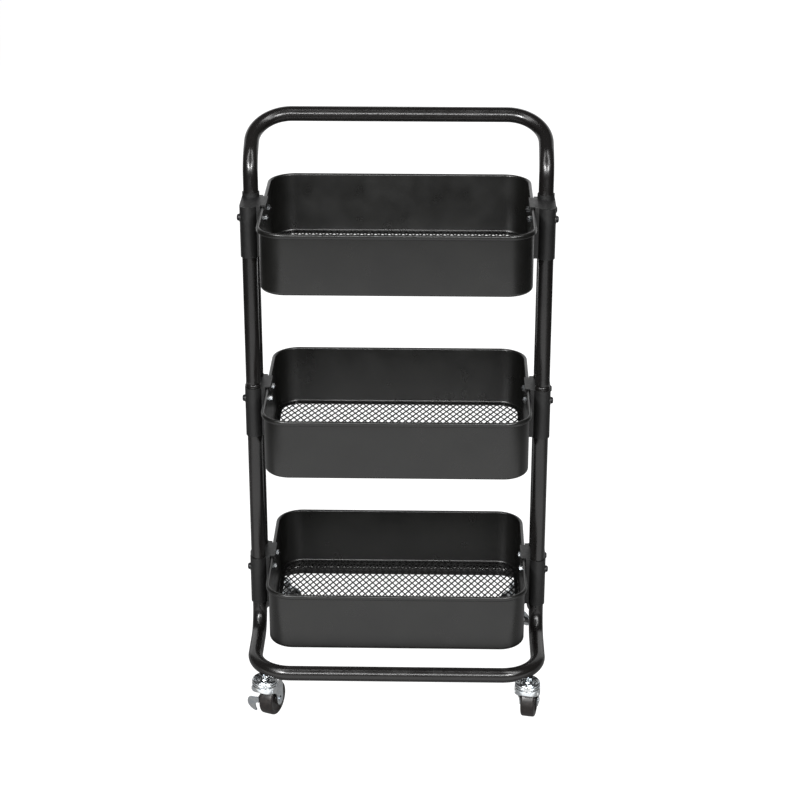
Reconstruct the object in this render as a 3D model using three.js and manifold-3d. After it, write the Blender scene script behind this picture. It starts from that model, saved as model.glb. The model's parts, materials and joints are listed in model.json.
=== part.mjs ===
// Rolling pantry cart: three steel baskets clamped between a double-tube frame on four swivel casters.
// Millimetres. +X right, +Y away from the user's side, +Z up, origin on the floor under the middle.
import * as THREE from "three";
import { mergeVertices } from "three/addons/utils/BufferGeometryUtils.js";
import Module from "manifold-3d";

const wasm = await Module();
wasm.setup();

// ---- Driving dimensions -------------------------------------------------------------------------

const GAP = 0.3; // left between pieces that touch
const ARC_SEGMENT_FACTOR = 2; // three.js gives an arc twice the curveSegments asked for

const TUBE = { radius: 10.5, wall: 1.2, sides: 16, boreSides: 12 };
const FRAME = {
  width: 430, // outside of the side tubes
  tubeSpacing: 42, // between the front and the rear tube of one side
  handleY: 101,
  handleZ: 838,
  handleLean: THREE.MathUtils.degToRad(60), // from upright
  handleFoldRadius: 40,
  cornerRadius: 54,
  baseY: 160,
  baseZ: 87,
  baseFoldRadius: 35,
  jointLift: 8, // the tube joint's height above the middle basket's rim
};
const SPIGOT = { radius: 8.9, wall: 1.2, length: 30, shoulder: 4 };

const BASKET = {
  width: 375,
  depth: 275,
  height: 88,
  cornerRadius: 39.6,
  rimProud: 3.6, // how far the rolled rim stands out from the wall
  rimHeight: 7,
  sheet: 1.2,
  flange: 9, // the inward border that carries the mesh
  meshSheet: 0.8,
};
const TIERS = [
  { name: "bottom", rimZ: 200 },
  { name: "middle", rimZ: 470 },
  { name: "top", rimZ: 740 },
];

const CLAMP = {
  wrap: 1.8, // plastic outside each tube
  drop: 71, // below the rim
  webDepth: 52,
  hookThickness: 2,
  hookReach: 24,
  hookLip: 5,
  hookDepth: 42,
  collarHeight: 6,
  collarWall: 1.2,
};
const BOLT = { radius: 2.5, headRadius: 4.8, headHeight: 3.6, drop: 15, tail: 1.5 };
const NUT = { radius: 4.6, height: 4 };

const CASTER = {
  x: 189,
  y: 144.5,
  trail: 23,
  wheelRadius: 25,
  wheelWidth: 20,
  axleRadius: 3,
  axleHeadRadius: 4.8,
  axleHeadHeight: 1.4,
  legInside: 11.4, // from the wheel's middle plane to the inside of a fork leg
  eyeRadius: 9, // the rounded end of a fork leg
  plate: 1.8,
  crownZ: 56, // underside of the fork's crown
  skirtZ: 53, // lower edge of the round housing
  headRadius: 18.5,
  headTopZ: 69.5,
  dishRadius: 15.5,
  dishDepth: 4,
  stemRadius: 4,
  stemInTube: 8,
  neckRadius: 5.5,
  flangeRadius: 8, // the riveted end of the stem, under the crown
  collarRadius: 7.4,
  collarHeight: 5.2,
  runningGap: 0.5,
};
const BRAKE = {
  plate: 1.6,
  eyeRadius: 7.5,
  pedalX: 5.5, // how far along the trail the pedal stands
  pedalOut: 20,
  pedalTopZ: 30,
  pedalBottomZ: 7,
  armBottomZ: 21,
};
// Each caster's turn at rest, in degrees: the way its wheel trails, measured from +Y towards +X.
const CASTERS = [
  { name: "front_left", sx: -1, sy: -1, turn: 21.5, brake: true },
  { name: "front_right", sx: 1, sy: -1, turn: 11, brake: false },
  { name: "rear_left", sx: -1, sy: 1, turn: 112, brake: false },
  { name: "rear_right", sx: 1, sy: 1, turn: -128, brake: true },
];

// ---- Values worked out from them ----------------------------------------------------------------

const TUBE_X = FRAME.width / 2 - TUBE.radius;
const TUBE_Y = FRAME.tubeSpacing / 2;
// A bore's flats lie on its true radius, so its corners lie a little outside it.
const BORE_CORNER = 1 / Math.cos(Math.PI / TUBE.boreSides);
const TUBE_BORE = (TUBE.radius - TUBE.wall) * BORE_CORNER;
const MIDDLE_RIM = TIERS[1].rimZ;
const TOP_RIM = TIERS[2].rimZ;
const JOINT_Z = MIDDLE_RIM + FRAME.jointLift;
const WALL_X = BASKET.width / 2 - BASKET.rimProud;
const SIDES = [
  { name: "left", sx: -1 },
  { name: "right", sx: 1 },
];
const ROWS = [
  { name: "front", sy: -1 },
  { name: "rear", sy: 1 },
];

const powderCoat = { color: 0x242222, roughness: 0.42, metalness: 0.35 };
const basketCoat = { color: 0x2c2c2d, roughness: 0.5, metalness: 0.3 };
const blackPlastic = { color: 0x161617, roughness: 0.75, metalness: 0 };
const blackScrew = { color: 0x1d1d1e, roughness: 0.35, metalness: 0.9 };
const zincPlate = { color: 0xc3c9cf, roughness: 0.28, metalness: 1 };
const wheelPlastic = { color: 0x1c1a1a, roughness: 0.45, metalness: 0 };

const cart = new THREE.Group();

// ---- Solids -------------------------------------------------------------------------------------

function solid(geometry) {
  const bare = geometry.clone();
  bare.deleteAttribute("normal");
  bare.deleteAttribute("uv");
  const merged = mergeVertices(bare, 1e-4);
  return new wasm.Manifold(
    new wasm.Mesh({
      numProp: 3,
      vertProperties: merged.attributes.position.array,
      triVerts: new Uint32Array(merged.index.array),
    }),
  );
}

function geometryOf(body) {
  const { vertProperties, triVerts } = body.getMesh();
  const geometry = new THREE.BufferGeometry();
  geometry.setAttribute("position", new THREE.BufferAttribute(vertProperties, 3));
  geometry.setIndex(new THREE.BufferAttribute(triVerts, 1));
  geometry.computeVertexNormals();
  return geometry;
}

function addPiece(name, body, look, parent = cart) {
  const mesh = new THREE.Mesh(geometryOf(body), new THREE.MeshStandardMaterial(look));
  mesh.name = name;
  parent.add(mesh);
  return mesh;
}

const join = (bodies) => bodies.reduce((a, b) => a.add(b));
const cut = (body, tools) => tools.reduce((a, b) => a.subtract(b), body);

function box(low, high) {
  const size = high.map((v, i) => v - low[i]);
  const geometry = new THREE.BoxGeometry(...size);
  geometry.translate(...low.map((v, i) => v + size[i] / 2));
  return solid(geometry);
}

function rod(radius, z0, z1, sides = 16, x = 0, y = 0) {
  const geometry = new THREE.CylinderGeometry(radius, radius, z1 - z0, sides);
  geometry.rotateX(Math.PI / 2);
  geometry.translate(x, y, (z0 + z1) / 2);
  return solid(geometry);
}

// A rod along X, from x0 to x1.
function crossRod(radius, x0, x1, y, z, sides = 12) {
  const geometry = new THREE.CylinderGeometry(radius, radius, x1 - x0, sides);
  geometry.rotateZ(Math.PI / 2);
  geometry.translate((x0 + x1) / 2, y, z);
  return solid(geometry);
}

function slab(shape, z0, z1, curveSegments = 3) {
  const geometry = new THREE.ExtrudeGeometry(shape, {
    depth: z1 - z0,
    bevelEnabled: false,
    curveSegments,
  });
  geometry.translate(0, 0, z0);
  return solid(geometry);
}

function roundedRectangle(width, depth, radius) {
  const x = width / 2 - radius;
  const y = depth / 2 - radius;
  const shape = new THREE.Shape();
  shape.absarc(x, y, radius, 0, Math.PI / 2);
  shape.absarc(-x, y, radius, Math.PI / 2, Math.PI);
  shape.absarc(-x, -y, radius, Math.PI, 1.5 * Math.PI);
  shape.absarc(x, -y, radius, 1.5 * Math.PI, 2 * Math.PI);
  shape.closePath();
  return shape;
}

// ---- Bent tubes ---------------------------------------------------------------------------------

// A tube's centre line: straight runs between corners, each corner rounded to its own radius.
class BentRoute extends THREE.Curve {
  constructor(corners, radii, arcSteps = 4) {
    super();
    this.stations = [];
    const last = corners.length - 1;
    corners.forEach((corner, i) => {
      const before = i > 0 ? corner.clone().sub(corners[i - 1]).normalize() : null;
      const after = i < last ? corners[i + 1].clone().sub(corner).normalize() : null;
      if (!before || !after) this.stations.push({ point: corner, tangent: before || after });
      else this.addArc(corner, before, after, radii[i - 1], arcSteps);
    });
  }

  addArc(corner, before, after, radius, steps) {
    const turn = before.angleTo(after);
    const start = corner.clone().addScaledVector(before, -radius * Math.tan(turn / 2));
    const inward = after.clone().addScaledVector(before, -after.dot(before)).normalize();
    for (let k = 0; k <= steps; k++) {
      const a = (turn * k) / steps;
      const point = start
        .clone()
        .addScaledVector(before, radius * Math.sin(a))
        .addScaledVector(inward, radius * (1 - Math.cos(a)));
      const tangent = before.clone().multiplyScalar(Math.cos(a)).addScaledVector(inward, Math.sin(a));
      this.stations.push({ point, tangent });
    }
  }

  get steps() {
    return this.stations.length - 1;
  }

  station(u) {
    return this.stations[Math.round(u * this.steps)];
  }

  getPointAt(u, target = new THREE.Vector3()) {
    return target.copy(this.station(u).point);
  }

  getTangentAt(u, target = new THREE.Vector3()) {
    return target.copy(this.station(u).tangent);
  }
}

function sweep(route, radius, sides) {
  const section = new THREE.Shape().absarc(0, 0, radius, 0, 2 * Math.PI);
  const options = {
    extrudePath: route,
    steps: route.steps,
    curveSegments: sides / ARC_SEGMENT_FACTOR,
    bevelEnabled: false,
  };
  return solid(new THREE.ExtrudeGeometry(section, options));
}

const point = (x, y, z) => new THREE.Vector3(x, y, z);

// One end of the route, moved along it so that the bore comes out past the tube's end.
const overrun = (corners, by) => {
  const moved = corners.map((c) => c.clone());
  const last = moved.length - 1;
  moved[0].z += by;
  moved[last].z += by;
  return moved;
};

function tubeAlong(corners, radii, boreShift) {
  const outside = sweep(new BentRoute(corners, radii), TUBE.radius, TUBE.sides);
  const inside = sweep(new BentRoute(overrun(corners, boreShift), radii), TUBE_BORE, TUBE.boreSides);
  return outside.subtract(inside);
}

function boltHoles(sx, sy, tiers) {
  return tiers.map(({ rimZ }) => {
    const x = sx * TUBE_X;
    const reach = TUBE.radius + 2;
    return crossRod(BOLT.radius + GAP, x - reach, x + reach, sy * TUBE_Y, rimZ - BOLT.drop, 8);
  });
}

function handleTube() {
  const rise = (FRAME.handleY - TUBE_Y) / Math.tan(FRAME.handleLean);
  const foldZ = FRAME.handleZ - rise;
  const leg = (sx) => [
    point(sx * TUBE_X, TUBE_Y, JOINT_Z + GAP),
    point(sx * TUBE_X, TUBE_Y, foldZ),
    point(sx * TUBE_X, FRAME.handleY, FRAME.handleZ),
  ];
  const corners = [...leg(-1), ...leg(1).reverse()];
  const radii = [FRAME.handleFoldRadius, FRAME.cornerRadius, FRAME.cornerRadius, FRAME.handleFoldRadius];
  const holes = SIDES.flatMap(({ sx }) => boltHoles(sx, 1, [TIERS[2]]));
  return cut(tubeAlong(corners, radii, -1), holes);
}

// A lower tube: a U that lies on the casters and turns up into two risers, each with a swaged end
// that slides into the tube above it.
function baseTube(sy) {
  const leg = (sx) => [
    point(sx * TUBE_X, sy * TUBE_Y, JOINT_Z),
    point(sx * TUBE_X, sy * TUBE_Y, FRAME.baseZ),
    point(sx * TUBE_X, sy * FRAME.baseY, FRAME.baseZ),
  ];
  const corners = [...leg(-1), ...leg(1).reverse()];
  const radii = [FRAME.baseFoldRadius, FRAME.cornerRadius, FRAME.cornerRadius, FRAME.baseFoldRadius];
  const tube = tubeAlong(corners, radii, -SPIGOT.shoulder);
  const spigots = SIDES.map(({ sx }) => {
    const z = JOINT_Z - SPIGOT.shoulder / 2;
    return rod(SPIGOT.radius, z, JOINT_Z + SPIGOT.length, TUBE.sides, sx * TUBE_X, sy * TUBE_Y);
  });
  const bores = SIDES.map(({ sx }) => {
    const radius = SPIGOT.radius - SPIGOT.wall;
    const z = JOINT_Z - SPIGOT.shoulder - 1;
    return rod(radius, z, JOINT_Z + SPIGOT.length + 1, TUBE.boreSides, sx * TUBE_X, sy * TUBE_Y);
  });
  const stemHoles = SIDES.map(({ sx }) => {
    const radius = CASTER.stemRadius + GAP;
    return rod(radius, FRAME.baseZ - TUBE.radius - 1, FRAME.baseZ, 12, sx * CASTER.x, sy * CASTER.y);
  });
  const holes = SIDES.flatMap(({ sx }) => boltHoles(sx, sy, TIERS.slice(0, 2)));
  return cut(join([tube, ...spigots]), [...bores, ...stemHoles, ...holes]);
}

// The front tube's upper length, which ends inside the top clamp.
function frontPost(sx) {
  const top = TOP_RIM - GAP;
  const outside = rod(TUBE.radius, JOINT_Z + GAP, top, TUBE.sides, sx * TUBE_X, -TUBE_Y);
  const inside = rod(TUBE_BORE, JOINT_Z, top + 1, TUBE.boreSides, sx * TUBE_X, -TUBE_Y);
  return cut(outside, [inside, ...boltHoles(sx, -1, [TIERS[2]])]);
}

addPiece("handle_tube", handleTube(), powderCoat);
for (const { name, sy } of ROWS) addPiece(`${name}_base_tube`, baseTube(sy), powderCoat);
for (const { name, sx } of SIDES) addPiece(`front_post_${name}`, frontPost(sx), powderCoat);

// ---- Baskets ------------------------------------------------------------------------------------

// A slab of the basket's plan, drawn in from the rim's outside by inset.
function planSlab(inset, z0, z1) {
  const { width, depth, cornerRadius } = BASKET;
  const radius = Math.max(cornerRadius - inset, 4);
  return slab(roundedRectangle(width - 2 * inset, depth - 2 * inset, radius), z0, z1);
}

function basketWall(rimZ) {
  const { height, sheet, rimProud, rimHeight, flange } = BASKET;
  const floorZ = rimZ - height;
  const body = join([planSlab(rimProud, floorZ, rimZ), planSlab(0, rimZ - rimHeight, rimZ)]);
  const inside = planSlab(rimProud + sheet, floorZ + sheet, rimZ + 1);
  const opening = planSlab(rimProud + flange, floorZ - 1, floorZ + sheet + 1);
  const holes = ROWS.map(({ sy }) => {
    const reach = WALL_X + 1;
    return crossRod(BOLT.radius + GAP, -reach, reach, sy * TUBE_Y, rimZ - BOLT.drop, 8);
  });
  return cut(body, [inside, opening, ...holes]);
}

// The welded mesh panel, held here as a sheet of the mesh's mean thickness.
function meshPanel(rimZ) {
  const z = rimZ - BASKET.height + BASKET.sheet + GAP;
  return planSlab(BASKET.rimProud + BASKET.sheet + GAP, z, z + BASKET.meshSheet);
}

for (const { name, rimZ } of TIERS) {
  addPiece(`${name}_basket_wall`, basketWall(rimZ), basketCoat);
  addPiece(`${name}_basket_mesh`, meshPanel(rimZ), basketCoat);
}

// ---- Clamps and their bolts ---------------------------------------------------------------------

// A box in a clamp's own terms: how far in from the tube centre line, along Y, and above the rim.
function clampBox(sx, rimZ, [in0, in1], [y0, y1], [z0, z1]) {
  const xs = [sx * (TUBE_X - in0), sx * (TUBE_X - in1)].sort((a, b) => a - b);
  return box([xs[0], y0, rimZ + z0], [xs[1], y1, rimZ + z1]);
}

// A rod along X given by how far in from the tube centre line it starts and ends.
function inwardRod(sx, radius, in0, in1, y, z, sides) {
  const xs = [sx * (TUBE_X - in0), sx * (TUBE_X - in1)].sort((a, b) => a - b);
  return crossRod(radius, xs[0], xs[1], y, z, sides);
}

function tubeSleeve(sx, z0, z1) {
  const radius = TUBE.radius + CLAMP.wrap;
  const shape = new THREE.Shape();
  shape.absarc(sx * TUBE_X, TUBE_Y, radius, 0, Math.PI);
  shape.absarc(sx * TUBE_X, -TUBE_Y, radius, Math.PI, 2 * Math.PI);
  shape.closePath();
  return slab(shape, z0, z1);
}

function clampBody(sx, rimZ, isTop) {
  const { drop, webDepth, hookThickness, hookReach, hookLip, hookDepth, collarHeight } = CLAMP;
  const wallIn = TUBE_X - WALL_X - GAP;
  const rimIn = wallIn - BASKET.rimProud;
  const top = hookThickness + GAP;
  const web = [-webDepth / 2, webDepth / 2];
  const hook = [-hookDepth / 2, hookDepth / 2];
  const lipIn = wallIn + 2 * GAP + BASKET.sheet;
  const body = join([
    tubeSleeve(sx, rimZ - drop, rimZ + top),
    clampBox(sx, rimZ, [0, wallIn], web, [-drop, -BASKET.rimHeight - GAP]),
    clampBox(sx, rimZ, [0, rimIn], web, [-BASKET.rimHeight - GAP - 1, top]),
    clampBox(sx, rimZ, [0, hookReach], hook, [GAP, top]),
    clampBox(sx, rimZ, [lipIn, hookReach], hook, [-hookLip, top]),
  ]);
  const collarRadius = TUBE.radius + GAP + CLAMP.collarWall;
  const collarTop = rimZ + top + collarHeight;
  const collar = rod(collarRadius, rimZ, collarTop, TUBE.sides, sx * TUBE_X, TUBE_Y);
  const bores = ROWS.map(({ sy }) => {
    const end = isTop && sy < 0 ? rimZ : rimZ + top + collarHeight + 1;
    return rod(TUBE.radius + GAP, rimZ - drop - 1, end, TUBE.sides, sx * TUBE_X, sy * TUBE_Y);
  });
  const outside = -(TUBE.radius + CLAMP.wrap + 1);
  const holes = ROWS.map(({ sy }) =>
    inwardRod(sx, BOLT.radius + GAP, outside, wallIn + 1, sy * TUBE_Y, rimZ - BOLT.drop, 8),
  );
  return cut(isTop ? body.add(collar) : body, [...bores, ...holes]);
}

const HEAD_IN = -(TUBE.radius + CLAMP.wrap + GAP);
const NUT_IN = TUBE_X - WALL_X + BASKET.sheet + GAP;

function bolt(sx, y, z) {
  const { headRadius, headHeight, radius, tail } = BOLT;
  const profile = [
    [0, 0],
    [headRadius, 0],
    [headRadius, headHeight * 0.3],
    [headRadius * 0.6, headHeight],
    [0, headHeight],
  ].map(([r, h]) => new THREE.Vector2(r, h));
  const head = new THREE.LatheGeometry(profile, 8);
  head.rotateZ((-sx * Math.PI) / 2);
  head.translate(sx * (TUBE_X - HEAD_IN), y, z);
  const shank = inwardRod(sx, radius, HEAD_IN - 0.5, NUT_IN + NUT.height + tail, y, z, 8);
  return solid(head).add(shank);
}

function nut(sx, y, z) {
  const hex = inwardRod(sx, NUT.radius, NUT_IN, NUT_IN + NUT.height, y, z, 6);
  const bore = inwardRod(sx, BOLT.radius + GAP, NUT_IN - 1, NUT_IN + NUT.height + 1, y, z, 8);
  return hex.subtract(bore);
}

for (const { name: tier, rimZ } of TIERS) {
  for (const { name: side, sx } of SIDES) {
    addPiece(`${tier}_clamp_${side}`, clampBody(sx, rimZ, tier === "top"), blackPlastic);
    for (const { name: row, sy } of ROWS) {
      const place = [sx, sy * TUBE_Y, rimZ - BOLT.drop];
      addPiece(`${tier}_bolt_${side}_${row}`, bolt(...place), blackScrew);
      addPiece(`${tier}_nut_${side}_${row}`, nut(...place), zincPlate);
    }
  }
}

// ---- Casters ------------------------------------------------------------------------------------

// A caster's pieces are made around the stem's axis on the floor, with +X the way the wheel trails
// and +Y along the axle.

const AXLE_Z = CASTER.wheelRadius;
const LEG_OUTSIDE = CASTER.legInside + CASTER.plate;
const TUBE_UNDERSIDE = FRAME.baseZ - TUBE.radius;

// A plate in the X-Z plane, from y0 to y1.
function uprightPlate(shape, y0, y1) {
  const options = { depth: y1 - y0, bevelEnabled: false, curveSegments: 3 };
  const geometry = new THREE.ExtrudeGeometry(shape, options);
  geometry.rotateX(Math.PI / 2);
  geometry.translate(0, y1, 0);
  return solid(geometry);
}

function axleRod(radius, y0, y1, sides = 12) {
  const geometry = new THREE.CylinderGeometry(radius, radius, y1 - y0, sides);
  geometry.translate(CASTER.trail, (y0 + y1) / 2, AXLE_Z);
  return solid(geometry);
}

// A body turned round the Z axis, from pairs of radius and height that start and end on the axis.
function turned(pairs, sides = 16) {
  const profile = pairs.map(([radius, z]) => new THREE.Vector2(radius, z));
  const geometry = new THREE.LatheGeometry(profile, sides);
  geometry.rotateX(Math.PI / 2);
  return solid(geometry);
}

function stem() {
  const { crownZ, runningGap, stemRadius, stemInTube, neckRadius } = CASTER;
  const { flangeRadius, collarRadius, collarHeight, plate } = CASTER;
  const collarTop = TUBE_UNDERSIDE - GAP;
  const collarZ = collarTop - collarHeight;
  const rivetTop = crownZ - runningGap;
  return join([
    rod(collarRadius, collarZ, collarTop, 6),
    rod(stemRadius, collarZ, TUBE_UNDERSIDE + stemInTube, 10),
    rod(neckRadius, rivetTop - 1, collarZ + 1, 12),
    rod(flangeRadius, rivetTop - plate, rivetTop, 12),
  ]);
}

// The leg that runs down one side of the wheel, seen along the axle.
function forkLegShape() {
  const { trail, crownZ, plate, skirtZ, eyeRadius, headRadius } = CASTER;
  const crownTop = crownZ + plate;
  const shape = new THREE.Shape();
  shape.moveTo(-headRadius / 2, crownTop);
  shape.lineTo(-headRadius / 2, skirtZ - plate);
  shape.quadraticCurveTo(trail / 3, AXLE_Z + 2 * eyeRadius, trail - eyeRadius, AXLE_Z);
  shape.absarc(trail, AXLE_Z, eyeRadius, Math.PI, 2 * Math.PI);
  shape.lineTo(trail + eyeRadius, AXLE_Z + 2 * eyeRadius);
  shape.quadraticCurveTo(trail + eyeRadius, crownZ, headRadius, crownTop);
  shape.closePath();
  return shape;
}

// The fork: a round race housing with a dished top on a crown plate, and a leg down each side.
function fork() {
  const { crownZ, skirtZ, plate, headRadius, headTopZ, dishRadius, dishDepth } = CASTER;
  const { legInside, neckRadius, runningGap } = CASTER;
  const housing = turned([
    [0, crownZ],
    [headRadius - plate, crownZ],
    [headRadius - plate, skirtZ],
    [headRadius, skirtZ],
    [headRadius, headTopZ - plate],
    [dishRadius + 1, headTopZ],
    [dishRadius, headTopZ - 1],
    [dishRadius - 2, headTopZ - dishDepth],
    [0, headTopZ - dishDepth],
  ]);
  // The housing is cut away over the wheel.
  const wheelRoom = box([legInside / 2, -legInside, skirtZ - 1], [headRadius + 1, legInside, crownZ]);
  const legs = [-1, 1].map((side) => {
    const ys = [side * legInside, side * LEG_OUTSIDE].sort((a, b) => a - b);
    return uprightPlate(forkLegShape(), ...ys);
  });
  const crown = box([0, -LEG_OUTSIDE, crownZ], [headRadius, LEG_OUTSIDE, crownZ + plate]);
  return cut(join([housing.subtract(wheelRoom), crown, ...legs]), [
    rod(neckRadius + runningGap, crownZ - 1, headTopZ + 1),
    axleRod(CASTER.axleRadius + GAP, -LEG_OUTSIDE - 1, LEG_OUTSIDE + 1),
  ]);
}

// A solid wheel: a hub that reaches to the fork, a sunk web and a tread with broken edges.
function wheel() {
  const { wheelRadius: r, wheelWidth, axleRadius, runningGap, legInside } = CASTER;
  const half = wheelWidth / 2;
  const hub = legInside - runningGap;
  const web = half - 1.5;
  const bore = axleRadius + runningGap;
  const outward = [
    [bore, hub],
    [r * 0.35, hub],
    [r * 0.38, web],
    [r * 0.74, web],
    [r * 0.78, half],
    [r * 0.94, half],
    [r, half - 2.5],
  ];
  const near = outward.map(([radius, y]) => [radius, -y]);
  const ring = [...near, ...outward.reverse(), near[0]];
  const points = ring.map(([radius, y]) => new THREE.Vector2(radius, y));
  const geometry = new THREE.LatheGeometry(points, 18);
  geometry.translate(CASTER.trail, 0, AXLE_Z);
  return solid(geometry);
}

function axle(braked) {
  const { axleRadius, axleHeadRadius, axleHeadHeight } = CASTER;
  const plainEnd = LEG_OUTSIDE + GAP;
  const brakeEnd = braked ? plainEnd + BRAKE.plate + GAP : plainEnd;
  return join([
    axleRod(axleRadius, -plainEnd - 0.5, brakeEnd + 0.5),
    axleRod(axleHeadRadius, -plainEnd - axleHeadHeight, -plainEnd),
    axleRod(axleHeadRadius, brakeEnd, brakeEnd + axleHeadHeight),
  ]);
}

// The pedal's outline seen from in front, y outward from the fork and z up: a claw open to the wheel.
function pedalShape(y0) {
  const { plate, pedalOut, pedalTopZ, pedalBottomZ, armBottomZ } = BRAKE;
  const tip = y0 + pedalOut;
  const middleZ = (pedalTopZ + pedalBottomZ) / 2;
  const shape = new THREE.Shape();
  shape.moveTo(y0, armBottomZ);
  shape.lineTo(y0, pedalTopZ);
  shape.quadraticCurveTo(tip, pedalTopZ, tip, middleZ);
  shape.quadraticCurveTo(tip, pedalBottomZ + 3, y0 + 3 * plate, pedalBottomZ);
  shape.lineTo(y0 + 2 * plate, pedalBottomZ + 1.5);
  shape.quadraticCurveTo(y0 + 5 * plate, middleZ - 1, y0 + 2 * plate, armBottomZ);
  shape.closePath();
  return shape;
}

// The foot lever beside the wheel: an eye round the axle, an arm forward and a claw-shaped pedal.
function brakeLever() {
  const { plate, eyeRadius, pedalX, pedalTopZ, armBottomZ } = BRAKE;
  const { trail, axleRadius } = CASTER;
  const y0 = LEG_OUTSIDE + GAP;
  const arm = new THREE.Shape();
  arm.moveTo(pedalX, pedalTopZ);
  arm.lineTo(pedalX, armBottomZ);
  arm.lineTo(trail, AXLE_Z - eyeRadius);
  arm.absarc(trail, AXLE_Z, eyeRadius, -Math.PI / 2, Math.PI / 2);
  arm.closePath();
  const hole = axleRod(axleRadius + CASTER.runningGap, y0 - 1, y0 + plate + 1);
  const options = { depth: plate, bevelEnabled: false, curveSegments: 4 };
  const pedal = new THREE.ExtrudeGeometry(pedalShape(y0), options);
  pedal.rotateX(Math.PI / 2);
  pedal.rotateZ(Math.PI / 2);
  pedal.translate(pedalX, 0, 0);
  return uprightPlate(arm, y0, y0 + plate).add(solid(pedal)).subtract(hole);
}

for (const { name, sx, sy, turn, brake } of CASTERS) {
  const caster = new THREE.Group();
  caster.position.set(sx * CASTER.x, sy * CASTER.y, 0);
  caster.rotation.z = THREE.MathUtils.degToRad(90 - turn);
  cart.add(caster);
  addPiece(`${name}_caster_stem`, stem(), zincPlate, caster);
  addPiece(`${name}_caster_fork`, fork(), zincPlate, caster);
  addPiece(`${name}_caster_wheel`, wheel(), wheelPlastic, caster);
  addPiece(`${name}_caster_axle`, axle(brake), zincPlate, caster);
  if (brake) addPiece(`${name}_brake_lever`, brakeLever(), zincPlate, caster);
}

export default cart;
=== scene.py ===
"""Rolling pantry cart: fine meshes, finishes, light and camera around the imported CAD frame.

Shapes are worked out in millimetres in the frame's own axes and turned into metres as each mesh is
made. Places come from the boxes of the CAD nodes that the pieces stand for, and so do the main sizes.
Sizes that a box can't give are named at the head of each section.
"""

import json
import math

import bmesh
import bpy
from mathutils import Matrix, Vector


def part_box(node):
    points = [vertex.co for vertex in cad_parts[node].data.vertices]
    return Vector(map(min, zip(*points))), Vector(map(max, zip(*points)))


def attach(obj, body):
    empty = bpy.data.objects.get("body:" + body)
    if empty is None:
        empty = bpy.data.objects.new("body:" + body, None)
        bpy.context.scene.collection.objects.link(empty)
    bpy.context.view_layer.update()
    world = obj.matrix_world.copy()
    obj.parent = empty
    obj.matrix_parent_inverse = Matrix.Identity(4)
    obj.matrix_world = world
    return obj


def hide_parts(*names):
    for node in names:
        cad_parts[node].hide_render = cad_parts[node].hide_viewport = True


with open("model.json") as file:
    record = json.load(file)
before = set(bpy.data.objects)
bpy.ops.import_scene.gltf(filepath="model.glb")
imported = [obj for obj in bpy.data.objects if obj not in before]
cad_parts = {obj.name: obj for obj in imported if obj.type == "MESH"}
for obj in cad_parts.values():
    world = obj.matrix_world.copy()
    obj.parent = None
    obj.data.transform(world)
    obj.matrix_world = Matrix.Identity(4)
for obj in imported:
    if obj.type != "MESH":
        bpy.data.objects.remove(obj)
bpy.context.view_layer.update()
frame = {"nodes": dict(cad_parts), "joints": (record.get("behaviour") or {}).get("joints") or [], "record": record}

MM = 0.001
TIERS = ("bottom", "middle", "top")
SIDES = (("left", -1), ("right", 1))
ROWS = (("front", -1), ("rear", 1))
CASTERS = ("front_left", "front_right", "rear_left", "rear_right")


def box_mm(node):
    """The lowest and highest corner of a CAD node, in millimetres."""
    low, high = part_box(node)
    return Vector(low) / MM, Vector(high) / MM


# ---- Measures read off the frame ----------------------------------------------------------------

_post_low, _post_high = box_mm("front_post_right")
TUBE_R = (_post_high.y - _post_low.y) / 2
TUBE_X = (_post_low.x + _post_high.x) / 2
TUBE_Y = -(_post_low.y + _post_high.y) / 2
JOINT_Z = _post_low.z
TUBE_WALL = 1.2
CORNER_R = 54.0
HANDLE_LEAN = math.radians(60)
HANDLE_FOLD_R = 40.0
BASE_FOLD_R = 35.0
GAP = 0.3

_wall_low, _wall_high = box_mm("top_basket_wall")
BASKET_W = _wall_high.x - _wall_low.x
BASKET_D = _wall_high.y - _wall_low.y
BASKET_H = _wall_high.z - _wall_low.z
BASKET_CORNER = 39.6
SHEET = 1.2
RIM_PROUD = 3.6
FLANGE = 9.0


# ---- Mesh building ------------------------------------------------------------------------------


def ringed(loops):
    """Closed rings of points, each joined to the next by quads and the last to the first."""
    bm = bmesh.new()
    rings = [[bm.verts.new(p) for p in loop] for loop in loops]
    count = len(rings[0])
    for below, above in zip(rings, rings[1:] + rings[:1]):
        for k in range(count):
            n = (k + 1) % count
            bm.faces.new((below[k], below[n], above[n], above[k]))
    return bm


def turned(profile, sides, closed=False, low_edge=None):
    """A body of revolution about Z. An open profile starts and ends on the axis.

    low_edge(z, angle), where it is given, says how high a point of the profile is at that angle.
    """
    bm = bmesh.new()
    angles = [2 * math.pi * k / sides for k in range(sides)]
    rings = []
    for r, z in profile:
        if r == 0:
            rings.append([bm.verts.new((0, 0, z))] * sides)
            continue
        heights = [low_edge(z, a) if low_edge else z for a in angles]
        places = [(r * math.cos(a), r * math.sin(a), height) for a, height in zip(angles, heights)]
        rings.append([bm.verts.new(place) for place in places])
    pairs = list(zip(rings, rings[1:]))
    if closed:
        pairs.append((rings[-1], rings[0]))
    for below, above in pairs:
        for k in range(sides):
            n = (k + 1) % sides
            corners = [below[k], below[n], above[n], above[k]]
            bm.faces.new(list(dict.fromkeys(corners)))
    return bm


def prism(outline, z0, z1):
    """An upright prism on a closed outline of (x, y) points."""
    bm = bmesh.new()
    low = [bm.verts.new((x, y, z0)) for x, y in outline]
    high = [bm.verts.new((x, y, z1)) for x, y in outline]
    bm.faces.new(low[::-1])
    bm.faces.new(high)
    for k in range(len(outline)):
        n = (k + 1) % len(outline)
        bm.faces.new((low[k], low[n], high[n], high[k]))
    return bm


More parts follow.
